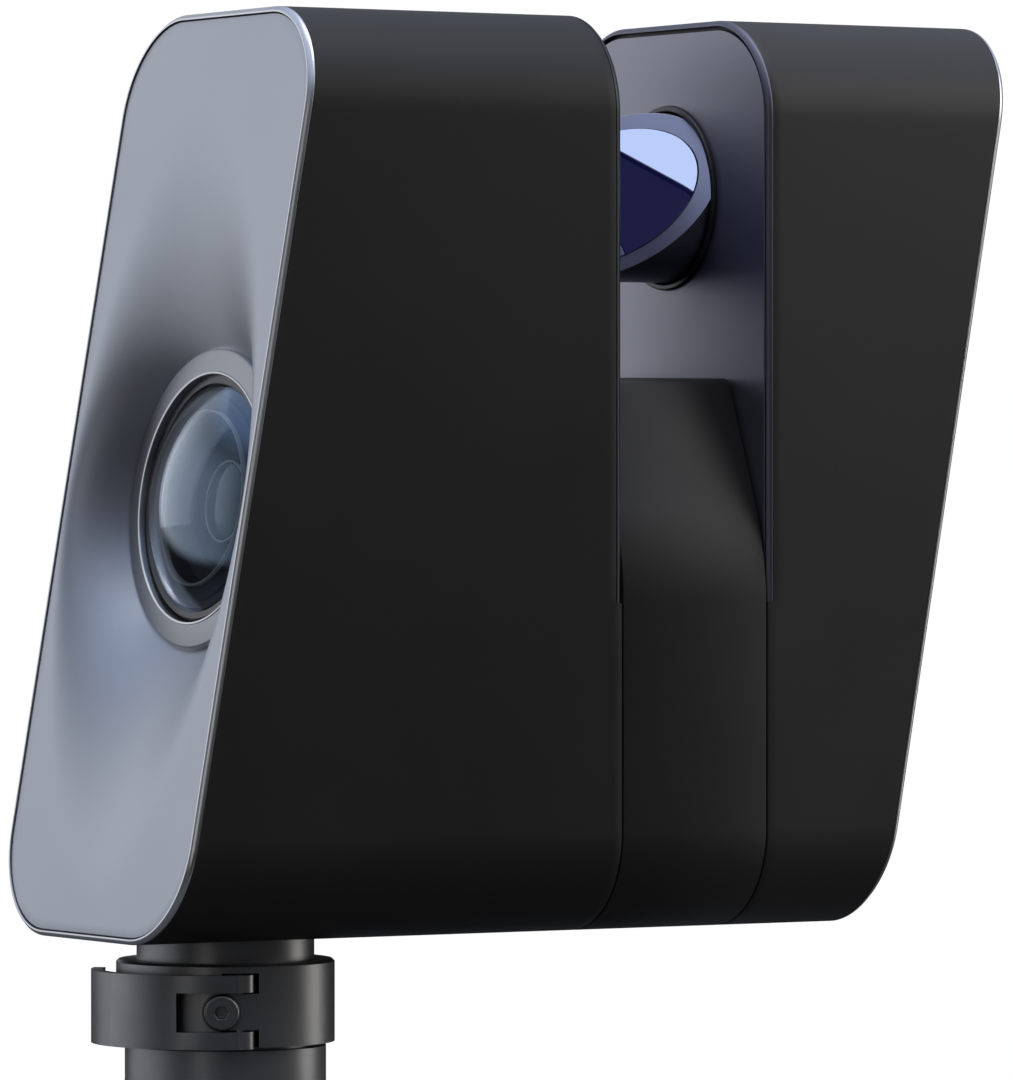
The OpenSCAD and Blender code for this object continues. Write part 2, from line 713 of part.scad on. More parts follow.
module power_button() color("#26262a") on_back(button_z) union() {
    translate([0, 0, -3]) cylinder(r = button_r, h = 3.4);
    translate([0, 0, -3.3]) cylinder(r = button_r + button_flange, h = 0.9);
}

module battery_latch() color("#3a3a3e") on_back(latch_z) union() {
    translate([0, -1, -plate_sink + 0.1]) linear_extrude(1.6) rounded(18, 7, 2);
    translate([-3, -1.2, -5.8]) cube([6, 2.4, 6.3]);
    translate([-4, -1.2, -5.8]) cube([8, 10.5, 2]);
}

tripod_adapter();
thread_insert();
locking_collar();
lever_pin();
swivel_neck();
inner_race();
bearing_balls();
fixed_gear();
gear_nut();
locking_lever();
plunger_screw();
pan_pinion();
front_housing();
front_plate();
end_trims();
gap_trims();
front_gap_plate();
laser_window();
bridge_housing();
rear_housing();
rear_gap_plate();
back_panel();
lens_bezel();
lens_barrel();
front_lens();
spacer_ring();
inner_lenses();
image_sensor();
camera_board();
lens_bracket();
outer_race();
base_plate();
chassis_frame();
bridge_beams();
motor_bracket();
pan_motor();
rangefinder();
rangefinder_lens();
mirror_collar();
motor_housing();
motor_stator();
mirror_bearings();
encoder_board();
battery_bay();
battery_contacts();
display_window();
rear_board();
charging_socket();
main_board();
housing_screws();
mirror_drum();
scan_mirror();
mirror_spindle();
rotor_magnet();
encoder_disc();
power_button();
battery_pack();
battery_cap();
battery_latch();
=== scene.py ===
"""Terrestrial laser scanner on its tripod adapter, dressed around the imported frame."""
import json
import math

import bmesh
import bpy
from mathutils import Matrix, Vector

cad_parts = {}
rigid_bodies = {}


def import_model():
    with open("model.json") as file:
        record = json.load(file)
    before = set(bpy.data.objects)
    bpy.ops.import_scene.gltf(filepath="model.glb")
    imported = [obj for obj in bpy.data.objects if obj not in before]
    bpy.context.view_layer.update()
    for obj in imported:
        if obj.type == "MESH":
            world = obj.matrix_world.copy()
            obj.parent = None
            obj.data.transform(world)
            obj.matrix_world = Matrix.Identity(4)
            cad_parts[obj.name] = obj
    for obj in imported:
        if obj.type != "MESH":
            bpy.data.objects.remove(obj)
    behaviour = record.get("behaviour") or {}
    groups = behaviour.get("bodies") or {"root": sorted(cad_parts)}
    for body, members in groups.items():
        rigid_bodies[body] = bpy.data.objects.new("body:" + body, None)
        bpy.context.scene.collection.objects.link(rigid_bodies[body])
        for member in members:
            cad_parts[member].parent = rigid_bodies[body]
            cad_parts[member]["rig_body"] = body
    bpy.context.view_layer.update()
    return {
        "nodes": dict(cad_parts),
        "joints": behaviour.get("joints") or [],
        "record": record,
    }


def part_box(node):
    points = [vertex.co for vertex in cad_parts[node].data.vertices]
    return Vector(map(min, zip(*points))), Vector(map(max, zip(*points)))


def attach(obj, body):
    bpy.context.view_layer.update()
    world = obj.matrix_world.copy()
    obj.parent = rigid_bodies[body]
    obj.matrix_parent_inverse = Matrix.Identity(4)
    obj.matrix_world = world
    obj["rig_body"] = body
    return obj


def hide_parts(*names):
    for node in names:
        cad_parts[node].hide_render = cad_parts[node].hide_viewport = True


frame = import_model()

MM = 0.001
nodes = frame["nodes"]
joints = {j["name"]: j for j in frame["joints"]}

# ---- positions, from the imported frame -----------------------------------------
RIM_D = 1.2 * MM                     # depth of the bright rims
CORNER = 20 * MM                     # corner radius of the body's outline
LEAN = math.tan(math.radians(10))    # both end faces lean back by 10 degrees
LENS_TILT = math.radians(7)
LENS_DROP = 0.5 * MM                 # the visual lens sits this much below the CAD lens
SCREW_SIDE = 2.75 * MM               # a screw's axis from the outer edge of its head
SCREW_BORE = 2.95                    # radii of the holes in the underside, in mm
NECK_BORE = 17.7
BORE_DEPTH = 20 * MM                 # length of the cutter, half of it below the underside
ROUND_STEPS = 160                    # points round each turned part of the lens

rim_lo, rim_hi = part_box("end_trims")
gap_lo, gap_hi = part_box("gap_trims")
bridge_lo, bridge_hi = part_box("bridge_housing")
HALF_W = rim_hi.x
Z0, Z1 = rim_lo.z, rim_hi.z
FRONT_Y = rim_lo.y                              # front edge of the underside
BACK_Y = rim_hi.y - (Z1 - Z0) * LEAN            # back edge of the underside
GAP_Y0, GAP_Y1 = gap_lo.y + RIM_D, gap_hi.y - RIM_D
FLUSH_Z = gap_lo.z
MIRROR = Vector(joints["mirror_spin"]["pos_m"])

bezel_lo, bezel_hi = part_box("lens_bezel")
LENS_N = Vector((0, -math.cos(LENS_TILT), math.sin(LENS_TILT)))
LENS_UP = Vector((0, math.sin(LENS_TILT), math.cos(LENS_TILT)))
LENS = (bezel_lo + bezel_hi) / 2 + LENS_N * 0.25 * MM - Vector((0, 0, LENS_DROP))
LENS_FRAME = Matrix.Translation(LENS) @ Matrix((
    (1, 0, 0, 0), (0, LENS_UP.y, LENS_N.y, 0), (0, LENS_UP.z, LENS_N.z, 0), (0, 0, 0, 1)))


def front_y(z, depth=0.0):
    return FRONT_Y + (z - Z0) * LEAN + depth


def back_y(z, depth=0.0):
    return BACK_Y + (z - Z0) * LEAN - depth


# ---- materials -----------------------------------------------------------------
def material(name, colour, metallic=0.0, roughness=0.4, grain=(2500, 0.02), mottle=0.06,
             rough_range=0.08, wear=None, brushed=None, **sockets):
    """A material with fine grain, slow mottling, uneven roughness and, if asked, worn edges."""
    mat = bpy.data.materials.new(name)
    mat.use_nodes = True
    tree = mat.node_tree
    shader = tree.nodes["Principled BSDF"]
    link = tree.links.new
    coords = tree.nodes.new("ShaderNodeTexCoord")
    source = coords.outputs["Object"]
    if brushed:
        mapping = tree.nodes.new("ShaderNodeMapping")
        mapping.inputs["Scale"].default_value = brushed
        link(source, mapping.inputs["Vector"])
        grain_source = mapping.outputs["Vector"]
    else:
        grain_source = source

    slow = tree.nodes.new("ShaderNodeTexNoise")
    slow.inputs["Scale"].default_value = 38
    slow.inputs["Detail"].default_value = 5
    link(source, slow.inputs["Vector"])
    fine = tree.nodes.new("ShaderNodeTexNoise")
    fine.inputs["Scale"].default_value = grain[0]
    fine.inputs["Detail"].default_value = 3
    link(grain_source, fine.inputs["Vector"])

    tone = tree.nodes.new("ShaderNodeMix")
    tone.data_type = "RGBA"
    tone.inputs["A"].default_value = [c * (1 - mottle) for c in colour[:3]] + [1]
    tone.inputs["B"].default_value = [min(1, c * (1 + mottle)) for c in colour[:3]] + [1]
    link(slow.outputs["Fac"], tone.inputs["Factor"])
    out = tone.outputs["Result"]
    speck = tree.nodes.new("ShaderNodeMix")
    speck.data_type = "RGBA"
    speck.blend_type = "OVERLAY"
    speck.inputs["Factor"].default_value = 0.12
    link(out, speck.inputs["A"])
    link(fine.outputs["Color"], speck.inputs["B"])
    grey = tree.nodes.new("ShaderNodeMix")
    grey.data_type = "RGBA"
    grey.inputs["Factor"].default_value = 0.5
    link(out, grey.inputs["A"])
    link(speck.outputs["Result"], grey.inputs["B"])
    out = grey.outputs["Result"]
    if wear:
        geometry = tree.nodes.new("ShaderNodeNewGeometry")
        edge = tree.nodes.new("ShaderNodeMapRange")
        edge.inputs["From Min"].default_value = 0.52
        edge.inputs["From Max"].default_value = 0.62
        link(geometry.outputs["Pointiness"], edge.inputs["Value"])
        patch = tree.nodes.new("ShaderNodeTexNoise")
        patch.inputs["Scale"].default_value = 160
        patch.inputs["Detail"].default_value = 6
        link(source, patch.inputs["Vector"])
        amount = tree.nodes.new("ShaderNodeMath")
        amount.operation = "MULTIPLY"
        link(edge.outputs["Result"], amount.inputs[0])
        link(patch.outputs["Fac"], amount.inputs[1])
        scaled = tree.nodes.new("ShaderNodeMath")
        scaled.operation = "MULTIPLY"
        scaled.inputs[1].default_value = wear[1]
        link(amount.outputs[0], scaled.inputs[0])
        worn = tree.nodes.new("ShaderNodeMix")
        worn.data_type = "RGBA"
        worn.inputs["B"].default_value = list(wear[0]) + [1]
        link(scaled.outputs[0], worn.inputs["Factor"])
        link(out, worn.inputs["A"])
        out = worn.outputs["Result"]
    link(out, shader.inputs["Base Color"])

    rough = tree.nodes.new("ShaderNodeMapRange")
    rough.inputs["To Min"].default_value = max(0.0, roughness - rough_range)
    rough.inputs["To Max"].default_value = min(1.0, roughness + rough_range)
    link(slow.outputs["Fac"], rough.inputs["Value"])
    link(rough.outputs["Result"], shader.inputs["Roughness"])

    if grain[1] > 0:
        bump = tree.nodes.new("ShaderNodeBump")
        bump.inputs["Strength"].default_value = grain[1]
        bump.inputs["Distance"].default_value = 0.0001
        link(fine.outputs["Fac"], bump.inputs["Height"])
        link(bump.outputs["Normal"], shader.inputs["Normal"])
    shader.inputs["Metallic"].default_value = metallic
    for key, value in sockets.items():
        shader.inputs[key.replace("_", " ")].default_value = value
    return mat


MATS = {
    "black_housing": material("black_housing", (0.0168, 0.0145, 0.0123), roughness=0.47, grain=(5200, 0.16),
                              wear=((0.05, 0.05, 0.052), 0.5), Specular_IOR_Level=0.30),
    # Painted light: a lighter copy of the housing black, standing in for the stronger light on the rear
    # block.
    "black_rear_painted_light": material("black_rear_painted_light", (0.0330, 0.0295, 0.0265), roughness=0.47, grain=(5200, 0.16),
                           wear=((0.06, 0.06, 0.062), 0.5), Specular_IOR_Level=0.32),
    # Painted light: a lighter copy of the housing black, standing in for the stronger light on the bridge.
    "black_bridge_painted_light": material("black_bridge_painted_light", (0.0205, 0.0180, 0.0155), roughness=0.47, grain=(5200, 0.16),
                             wear=((0.05, 0.05, 0.052), 0.5), Specular_IOR_Level=0.30),
    "silver_plate": material("silver_plate", (0.45, 0.465, 0.495), metallic=1.0, roughness=0.50,
                             grain=(6500, 0.10), mottle=0.03, rough_range=0.03),
    "bright_rim": material("bright_rim", (0.62, 0.62, 0.63), metallic=1.0, roughness=0.30,
                           grain=(4000, 0.05), mottle=0.04),
    "dark_rim": material("dark_rim", (0.035, 0.034, 0.045), metallic=0.6, roughness=0.35,
                         grain=(4000, 0.08), wear=((0.2, 0.2, 0.24), 0.4)),
    "gap_plate": material("gap_plate", (0.34, 0.335, 0.375), metallic=1.0, roughness=0.50,
                          grain=(6500, 0.10), mottle=0.03, rough_range=0.03),
    "gap_face": material("gap_face", (0.006, 0.005, 0.020), roughness=0.50, grain=(5000, 0.06),
                         Specular_IOR_Level=0.05),
    "drum_metal": material("drum_metal", (0.34, 0.34, 0.42), metallic=1.0, roughness=0.34,
                           grain=(3600, 0.08)),
    "clamp_metal": material("clamp_metal", (0.22, 0.218, 0.215), metallic=0.9, roughness=0.36,
                            grain=(4200, 0.12), wear=((0.32, 0.32, 0.33), 0.6)),
    "gap_rim": material("gap_rim", (0.15, 0.15, 0.18), metallic=1.0, roughness=0.45,
                        grain=(4000, 0.05)),
    "lens_bezel": material("lens_bezel", (0.33, 0.335, 0.35), metallic=1.0, roughness=0.42,
                           grain=(5000, 0.10), mottle=0.03),
    "lens_glass": material("lens_glass", (0.80, 0.88, 1.0), roughness=0.03, grain=(900, 0.004), mottle=0.02,
                           rough_range=0.015, Transmission_Weight=1.0, IOR=1.6),
    "window_glass": material("window_glass", (0.018, 0.012, 0.032), roughness=0.08, grain=(900, 0.004),
                             rough_range=0.03, Coat_Weight=1.0, Coat_Roughness=0.04),
    "black_plastic": material("black_plastic", (0.024, 0.024, 0.026), roughness=0.5, grain=(3800, 0.3),
                              wear=((0.07, 0.07, 0.075), 0.5)),
    "black_anodised": material("black_anodised", (0.062, 0.061, 0.060), metallic=0.75, roughness=0.34,
                               grain=(4200, 0.12), wear=((0.16, 0.16, 0.17), 0.6)),
    "mirror_coating": material("mirror_coating", (0.84, 0.88, 1.0), metallic=1.0, roughness=0.015,
                               grain=(800, 0.002), mottle=0.01, rough_range=0.01),
    "steel": material("steel", (0.52, 0.52, 0.53), metallic=1.0, roughness=0.3, grain=(2600, 0.12),
                      brushed=(1, 1, 14)),
    "brass": material("brass", (0.66, 0.47, 0.22), metallic=1.0, roughness=0.32, grain=(2600, 0.1)),
    "frame_casting": material("frame_casting", (0.42, 0.43, 0.45), metallic=0.9, roughness=0.55,
                              grain=(1500, 0.45), mottle=0.1),
    "circuit_board": material("circuit_board", (0.012, 0.11, 0.05), roughness=0.35, grain=(900, 0.25),
                              mottle=0.25, Coat_Weight=0.6, Coat_Roughness=0.12),
    "copper_winding": material("copper_winding", (0.45, 0.17, 0.05), metallic=0.6, roughness=0.35,
                               grain=(1400, 0.8), brushed=(1, 9, 1)),
    "sensor_die": material("sensor_die", (0.03, 0.05, 0.08), metallic=0.4, roughness=0.15,
                           grain=(5000, 0.03)),
}
LIP = material("bezel_lip", (0.62, 0.62, 0.62), metallic=1.0, roughness=0.30, grain=(3000, 0.04))
BAFFLE = material("lens_baffle", (0.006, 0.006, 0.007), roughness=0.6, grain=(3500, 0.3))
DOME = material("lens_dome", (0.86, 0.92, 1.0), roughness=0.02, grain=(900, 0.0004), mottle=0.02,
                rough_range=0.012, Transmission_Weight=1.0, IOR=1.8,
                Specular_Tint=(0.52, 0.73, 1.0, 1.0))
INNER = material("inner_glass", (0.10, 0.13, 0.13), roughness=0.06, grain=(900, 0.002), IOR=1.3)
RING_LIGHT = material("ground_edge", (0.55, 0.57, 0.55), roughness=0.5, grain=(2500, 0.1))

slot_of = {part["node"]: part["material_slot"] for part in frame["record"]["subparts"]}
for node_name, node_object in nodes.items():
    node_object.data.materials.clear()
    node_object.data.materials.append(MATS[slot_of[node_name]])


# ---- mesh helpers --------------------------------------------------------------
def piece(name, verts, faces, body, mat, slot, sharp=32):
    """A smooth mesh that rides a body; edges sharper than sharp degrees stay sharp."""
    mesh = bpy.data.meshes.new(name)
    mesh.from_pydata([tuple(v) for v in verts], [], faces)
    work = bmesh.new()
    work.from_mesh(mesh)
    bmesh.ops.remove_doubles(work, verts=work.verts, dist=1e-7)
    bmesh.ops.recalc_face_normals(work, faces=work.faces)
    work.to_mesh(mesh)
    work.free()
    mesh.shade_smooth()
    mesh.set_sharp_from_angle(angle=math.radians(sharp))
    mesh.materials.append(mat)
    made = bpy.data.objects.new(name, mesh)
    bpy.context.scene.collection.objects.link(made)
    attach(made, body)
    return made


def loft(name, rings, body, mat, slot, closed=True, sharp=32):
    """Rings of the same number of points, joined in turn; closed joins the last to the first."""
    count = len(rings[0])
    verts = [p for ring in rings for p in ring]
    faces = []
    last = len(rings) if closed else len(rings) - 1
    for i in range(last):
        a, b = i * count, (i + 1) % len(rings) * count
        for j in range(count):
            k = (j + 1) % count
            faces.append((a + j, a + k, b + k, b + j))
    return piece(name, verts, faces, body, mat, slot, sharp)


def circle(place, r, h):
    """Points round the local Z of place, at a radius and height in mm."""
    turns = [2 * math.pi * i / ROUND_STEPS for i in range(ROUND_STEPS)]
    return [place @ Vector((r * MM * math.cos(t), r * MM * math.sin(t), h * MM)) for t in turns]


def lathe(name, profile, place, body, mat, slot):
    """profile of (radius, height) in mm, turned about the local Z of place."""
    return loft(name, [circle(place, r, h) for r, h in profile], body, mat, slot)


def soften(node, width, mat):
    """The CAD node's own shape with its edges rounded by width in mm, in its place."""
    work = bmesh.new()
    work.from_mesh(nodes[node].data)
    bmesh.ops.remove_doubles(work, verts=work.verts, dist=2e-6)
    bmesh.ops.dissolve_limit(work, angle_limit=math.radians(0.6), verts=work.verts, edges=work.edges)
    edges = [e for e in work.edges if len(e.link_faces) == 2
             and e.calc_face_angle(0) > math.radians(30)]
    bmesh.ops.bevel(work, geom=edges, offset=width * MM, offset_type="OFFSET", segments=2,
                    profile=0.5, affect="EDGES", clamp_overlap=True)
    mesh = bpy.data.meshes.new(node + "_soft")
    work.to_mesh(mesh)
    work.free()
    mesh.shade_smooth()
    mesh.set_sharp_from_angle(angle=math.radians(50))
    mesh.materials.append(mat)
    made = bpy.data.objects.new(node + "_soft", mesh)
    bpy.context.scene.collection.objects.link(made)
    flat = made.modifiers.new("flat", "WEIGHTED_NORMAL")
    flat.weight = 100
    flat.keep_sharp = True
    bpy.context.view_layer.update()
    evaluated = made.evaluated_get(bpy.context.evaluated_depsgraph_get())
    made.data = bpy.data.meshes.new_from_object(evaluated)
    made.modifiers.clear()
    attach(made, nodes[node]["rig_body"])
    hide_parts(node)


def spread(a, b, count):
    """count even steps from a towards b, without b itself."""
    return [a + (b - a) * i / count for i in range(count)]


def outline(inset):
    """Points (x, z) round the body's outline, anticlockwise from the front, shrunk by inset."""
    r = CORNER - inset
    inner_x = HALF_W - CORNER
    low, high = Z0 + CORNER, Z1 - CORNER
    step_z = [low + (FLUSH_Z - 0.00001 - low) * i / 14 for i in range(1, 15)]
    step_z += [FLUSH_Z + 0.00001 + (high - FLUSH_Z) * i / 40 for i in range(40)]
    points = [(x, Z0 + inset) for x in spread(-inner_x, inner_x, 20)]

    def corner(cx, cz, start):
        return [(cx + r * math.cos(math.radians(start + 90 * i / 28)),
                 cz + r * math.sin(math.radians(start + 90 * i / 28))) for i in range(28)]
    points += corner(inner_x, low, -90)
    points += [(HALF_W - inset, z) for z in [low] + step_z]
    points += corner(inner_x, high, 0)
    points += [(x, Z1 - inset) for x in spread(inner_x, -inner_x, 20)]
    points += corner(-inner_x, high, 90)
    points += [(-HALF_W + inset, z) for z in [high] + step_z[::-1]]
    points += corner(-inner_x, low, 180)
    return points


def ring(inset_mm, y_of):
    return [Vector((x, y_of(z), z)) for x, z in outline(inset_mm * MM)]


# ---- housings ------------------------------------------------------------------
def gap_front(depth):
    """Gap side of the front block: short of the bright rim above the bridge's flush part."""
    return lambda z: GAP_Y0 - depth * MM - (RIM_D if z > FLUSH_Z else 0)


def gap_rear(depth):
    return lambda z: GAP_Y1 + depth * MM + (RIM_D if z > FLUSH_Z else 0)


front_shell = loft("front_shell", [
    ring(1.8, lambda z: front_y(z, 1.6 * MM)), ring(0.5, lambda z: front_y(z, 1.25 * MM)),
    ring(0.12, lambda z: front_y(z, 1.25 * MM)), ring(0.0, lambda z: front_y(z, 1.4 * MM)),
    ring(0.0, lambda z: front_y(z, 3 * MM)), ring(0.0, gap_front(2)), ring(0.0, gap_front(0.32)),
    ring(0.09, gap_front(0.1)), ring(0.32, gap_front(0.0)), ring(1.8, gap_front(0.0))],
    "scanner", MATS["black_housing"], "black_housing")
# The rear shell wears the lighter copy of the housing black: painted light.
rear_shell = loft("rear_shell", [
    ring(1.8, gap_rear(0.0)), ring(0.32, gap_rear(0.0)), ring(0.09, gap_rear(0.1)),
    ring(0.0, gap_rear(0.32)), ring(0.0, gap_rear(2)), ring(0.0, lambda z: back_y(z, 3 * MM)),
    ring(0.0, lambda z: back_y(z, 1.4 * MM)), ring(0.12, lambda z: back_y(z, 1.25 * MM)),
    ring(0.5, lambda z: back_y(z, 1.25 * MM)), ring(1.8, lambda z: back_y(z, 1.6 * MM))],
    "scanner", MATS["black_rear_painted_light"], "black_housing")


def bore(target, radius_mm, centre, segments=96):
    """A round hole along Z through the underside, cut for good."""
    cutter_mesh = bpy.data.meshes.new("cutter")
    work = bmesh.new()
    bmesh.ops.create_cone(work, cap_ends=True, segments=segments, radius1=radius_mm * MM,
                          radius2=radius_mm * MM, depth=BORE_DEPTH, matrix=Matrix.Translation(centre))
    work.to_mesh(cutter_mesh)
    work.free()
    cutter = bpy.data.objects.new("cutter", cutter_mesh)
    bpy.context.scene.collection.objects.link(cutter)
    cut = target.modifiers.new("cut", "BOOLEAN")
    cut.operation = "DIFFERENCE"
    cut.object = cutter
    cut.solver = "EXACT"
    bpy.context.view_layer.update()
    evaluated = target.evaluated_get(bpy.context.evaluated_depsgraph_get())
    baked = bpy.data.meshes.new_from_object(evaluated)
    target.modifiers.clear()
    baked.materials.clear()
    baked.materials.append(target.data.materials[0])
    target.data = baked
    bpy.data.objects.remove(cutter)


bore(front_shell, NECK_BORE, (0, 0, Z0))
screw_lo, screw_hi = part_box("housing_screws")
SCREW_XS = (screw_lo.x + SCREW_SIDE, screw_hi.x - SCREW_SIDE)
for x in SCREW_XS:             # rows of screws, in mm behind the front edge of the underside
    for y, shell in ((11, front_shell), (88, front_shell), (148, rear_shell)):
        bore(shell, SCREW_BORE, (x, FRONT_Y + y * MM, Z0), segments=32)
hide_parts("front_housing")
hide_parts("rear_housing")


def rim(name, y_of):
    """Bright chamfered rim: y_of(z, depth) with depth measured inwards from the face, in mm."""
    return loft(name, [
        ring(0.0, lambda z: y_of(z, 1.2)), ring(0.0, lambda z: y_of(z, 0.86)),
        ring(0.05, lambda z: y_of(z, 0.72)), ring(0.66, lambda z: y_of(z, 0.06)),
        ring(0.80, lambda z: y_of(z, 0.0)), ring(1.06, lambda z: y_of(z, 0.0)),
        ring(1.1, lambda z: y_of(z, 0.05)), ring(1.1, lambda z: y_of(z, 1.2))],
        "scanner", MATS["bright_rim"], "bright_rim")


front_rim = rim("front_rim", lambda z, d: front_y(z, d * MM))
rim("back_rim", lambda z, d: back_y(z, d * MM))
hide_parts("end_trims")


GAP_RIM_SECTION = [          # (inset, depth) in mm
    (0.0, 1.2), (0.0, 0.9), (0.06, 0.75), (0.66, 0.06),
    (0.80, 0.0), (1.06, 0.0), (1.1, 0.05), (1.1, 1.2)]


def gap_rim(name, y_of, mat):
    """Rim of a face in the gap, open where the bridge joins."""
    kept = [i for i, (x, z) in enumerate(outline(0)) if z > FLUSH_Z]
    rings = []
    for inset, depth in GAP_RIM_SECTION:
        points = outline(inset * MM)
        rings.append([Vector((points[i][0], y_of(depth), points[i][1])) for i in kept])
    count, turns = len(rings[0]), len(rings)
    verts = [p for r in rings for p in r]
    faces = []
    for i in range(turns):
        a, b = i * count, (i + 1) % turns * count
        faces += [(a + j, a + j + 1, b + j + 1, b + j) for j in range(count - 1)]
    faces.append([i * count for i in range(turns)])
    faces.append([i * count + count - 1 for i in range(turns)])
    return piece(name, verts, faces, "scanner", mat, "bright_rim")


gap_rim_front = gap_rim("gap_rim_front", lambda d: GAP_Y0 - d * MM, MATS["dark_rim"])
gap_rim_rear = gap_rim("gap_rim_rear", lambda d: GAP_Y1 + d * MM, MATS["gap_rim"])
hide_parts("gap_trims")
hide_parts("gap_trims")


# ---- bridge --------------------------------------------------------------------
SHOULDER_R = 50 * MM                 # the bridge's side arcs


def bridge_half(inset):
    """Right half of the bridge's outline, from the middle of its top down to its underside."""
    slope = math.radians(22)
    r = SHOULDER_R - inset
    arc_x = HALF_W - SHOULDER_R
    arc_top = Vector((arc_x + r * math.cos(slope), FLUSH_Z + r * math.sin(slope)))
    top_z = bridge_hi.z - inset
    top = Vector((arc_top.x - (top_z - arc_top.y) * math.tan(slope), top_z))
    fillet = 1.6 * MM
    down = (arc_top - top).normalized()
    pts = [(x, top_z) for x in spread(0, top.x - fillet, 10)]
    start, end = Vector((top.x - fillet, top_z)), top + down * fillet
    for i in range(8):
        t = i / 7
        p = start * (1 - t) ** 2 + top * (2 * t * (1 - t)) + end * t * t
        pts.append((p.x, p.y))
    pts += [tuple(end.lerp(arc_top, i / 12)) for i in range(1, 12)]
    pts += [(arc_x + r * math.cos(slope * (1 - i / 24)), FLUSH_Z + r * math.sin(slope * (1 - i / 24)))
            for i in range(25)]
    low = Z0 + CORNER
    pts += [(HALF_W - inset, FLUSH_Z + (low - FLUSH_Z) * i / 12) for i in range(1, 12)]
    pts += [(HALF_W - CORNER + (CORNER - inset) * math.cos(math.radians(90 * i / 28)),
             low - (CORNER - inset) * math.sin(math.radians(90 * i / 28))) for i in range(29)]
    pts += [(HALF_W - CORNER - (HALF_W - CORNER) * i / 8, Z0 + inset) for i in range(1, 9)]
    return pts


def bridge_ring(inset_mm, y):
    half = bridge_half(inset_mm * MM)
    full = half + [(-x, z) for x, z in half[-2:0:-1]]
    return [Vector((x, y, z)) for x, z in full]


near, far = bridge_lo.y, bridge_hi.y
# The bridge wears the lighter copy of the housing black: painted light.
bridge = loft("bridge_shell", [
    bridge_ring(2.0, near), bridge_ring(0.35, near), bridge_ring(0.1, near + 0.1 * MM),
    bridge_ring(0.0, near + 0.35 * MM), bridge_ring(0.0, far - 0.35 * MM),
    bridge_ring(0.1, far - 0.1 * MM), bridge_ring(0.35, far), bridge_ring(2.0, far)],
    "scanner", MATS["black_bridge_painted_light"], "black_housing")
for x in SCREW_XS:
    bore(bridge, SCREW_BORE, (x, FRONT_Y + 116 * MM, Z0), segments=32)
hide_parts("bridge_housing")


# ---- front plate and its dish --------------------------------------------------
PLATE_INSET = 1.5 * MM
PLATE_SINK = 0.3 * MM
BEZEL_R = 29.45 * MM
DISH_SIDE = 36.9 * MM      # half width of the dish's outline
DISH_TALL = 76 * MM        # half height of it
DISH_POWER = 1.9           # 2 would make the outline an ellipse
DISH_ROWS = 46
DISH_FALL = 1.9            # steepness of the fall above and below the lens
DISH_FALL_SIDE = 0.4       # what is added to it at the lens's sides
BEZEL_LIFT = 0.2 * MM      # where the dish meets the bezel, along the lens's axis


def dish_rings():
    """Rings from the bezel out to the plate's edge, on a surface that falls towards the bezel."""
    outer = outline(PLATE_INSET)
    rings = []
    for i in range(DISH_ROWS + 1):
        out = (i / DISH_ROWS) ** 1.5
        row = []
        for x, z in outer:
            angle = math.atan2((z - LENS.z) / math.cos(LENS_TILT), x)
            rim_x, rim_y = BEZEL_R * math.cos(angle), BEZEL_R * math.sin(angle)
            rim_point = LENS_FRAME @ Vector((rim_x, rim_y, BEZEL_LIFT))
            px = rim_point.x + (x - rim_point.x) * out
            pz = rim_point.z + (z - rim_point.z) * out
            bearing = math.atan2(pz - LENS.z, px)
            across = abs(math.cos(bearing) / DISH_SIDE) ** DISH_POWER
            along = abs(math.sin(bearing) / DISH_TALL) ** DISH_POWER
            reach = (across + along) ** (-1 / DISH_POWER)
            away = (math.hypot(px, pz - LENS.z) - BEZEL_R) / (reach - BEZEL_R)
            away = min(1.0, max(0.0, away))
            deep = rim_point.y - front_y(rim_point.z, PLATE_SINK)
            fall = (1 - away) ** (DISH_FALL + DISH_FALL_SIDE * math.cos(bearing) ** 2)
            row.append(Vector((px, front_y(pz, PLATE_SINK) + deep * fall, pz)))
        rings.append(row)
    return rings


def edge_ring(inset, depth):
    return [Vector((x, front_y(z, depth), z)) for x, z in outline(inset)]


front_panel = loft("front_panel", dish_rings() + [
    edge_ring(PLATE_INSET - 0.08 * MM, PLATE_SINK + 0.03 * MM),
    edge_ring(PLATE_INSET - 0.12 * MM, PLATE_SINK + 0.12 * MM),
    edge_ring(PLATE_INSET - 0.12 * MM, PLATE_SINK + 1.4 * MM)],
    "scanner", MATS["silver_plate"], "silver_plate", closed=False, sharp=40)
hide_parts("front_plate")

loft("front_groove", [
    ring(1.1, lambda z: front_y(z, 0.9 * MM)), ring(1.1, lambda z: front_y(z, 1.1 * MM)),
    ring(1.55, lambda z: front_y(z, 1.1 * MM)), ring(1.55, lambda z: front_y(z, 0.9 * MM))],
    "scanner", BAFFLE, "black_housing")

# ---- lens ----------------------------------------------------------------------
bezel = lathe("bezel_ring", [
    (24.92, -2), (29.5, -2), (29.5, 1.1), (29.42, 1.32), (29.25, 1.45), (29.0, 1.5),
    (25.3, 1.85), (24.95, 1.85)],
    LENS_FRAME, "scanner", MATS["lens_bezel"], "lens_bezel")
bezel_lip = lathe("bezel_lip", [
    (24.42, -1.9), (24.9, -1.9), (24.9, 1.95), (24.84, 2.02), (24.5, 1.95), (24.42, 1.8)],
    LENS_FRAME, "scanner", LIP, "lens_bezel")
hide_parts("lens_bezel")
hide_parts("lens_bezel")

